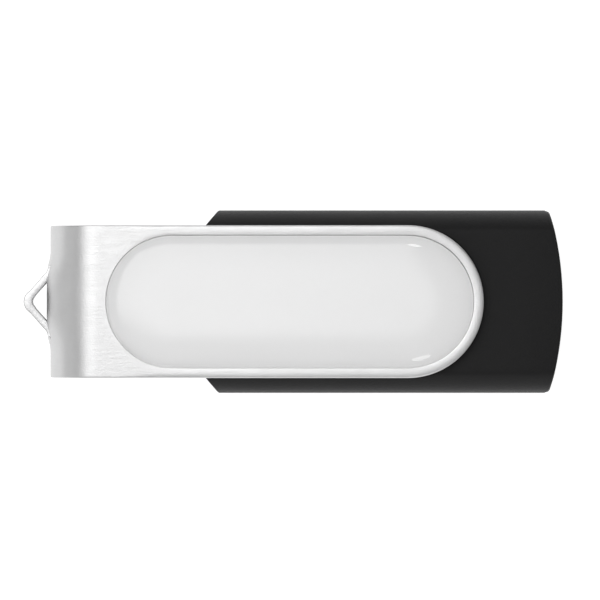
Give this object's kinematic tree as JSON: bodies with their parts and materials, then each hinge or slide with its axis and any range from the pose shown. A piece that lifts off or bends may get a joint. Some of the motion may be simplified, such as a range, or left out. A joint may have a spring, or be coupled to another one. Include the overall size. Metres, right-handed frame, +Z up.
{
  "type": "usb flash drive",
  "caption": "Swivel USB flash drive: a black plastic body with a USB-A plug turns between the arms of a folded sheet-metal cover with a cord loop and a domed label.",
  "frame": {"origin": "middle of the footprint's bounding box, on the surface that the cover's lower arm rests on", "axes": "+X along the drive from the cord loop to the body's rear end, +Z up through the domed label, +Y across it"},
  "size_m": [0.056, 0.019, 0.0109],
  "materials": {
    "satin_aluminium": "satin, with very fine brushing along the length",
    "white_film": "plain white printed film",
    "clear_resin": "clear cast resin, glossy",
    "black_plastic": "fine matte texture",
    "plated_steel": "bright nickel plate",
    "white_nylon": "smooth moulded",
    "gold_plate": "gold flash",
    "solder_mask": "green solder mask",
    "chip_epoxy": "moulded epoxy",
    "crystal_lid": "plated lid",
    "capacitor_ceramic": "fired ceramic with tinned ends",
    "resistor_body": "coated ceramic with tinned ends"
  },
  "bodies": {
    "cover": {"swivel_cover": "satin_aluminium", "label_film": "white_film", "resin_dome": "clear_resin"},
    "drive": {"upper_shell": "black_plastic", "lower_shell": "black_plastic", "plug_shell": "plated_steel", "plug_insulator": "white_nylon", "contact_power": "gold_plate", "contact_data_minus": "gold_plate", "contact_data_plus": "gold_plate", "contact_ground": "gold_plate", "circuit_board": "solder_mask", "flash_memory_chip": "chip_epoxy", "controller_chip": "chip_epoxy", "crystal": "crystal_lid", "capacitor_supply": "capacitor_ceramic", "capacitor_core": "capacitor_ceramic", "capacitor_crystal_1": "capacitor_ceramic", "capacitor_crystal_2": "capacitor_ceramic", "resistor_data_minus": "resistor_body", "resistor_data_plus": "resistor_body", "resistor_reset": "resistor_body"}
  },
  "joints": [
    {"name": "swivel", "type": "hinge", "parent": "cover", "child": "drive", "pos_m": [0.01188, 0, 0.00495], "axis": [0, 0, 1], "continuous": true}
  ]
}
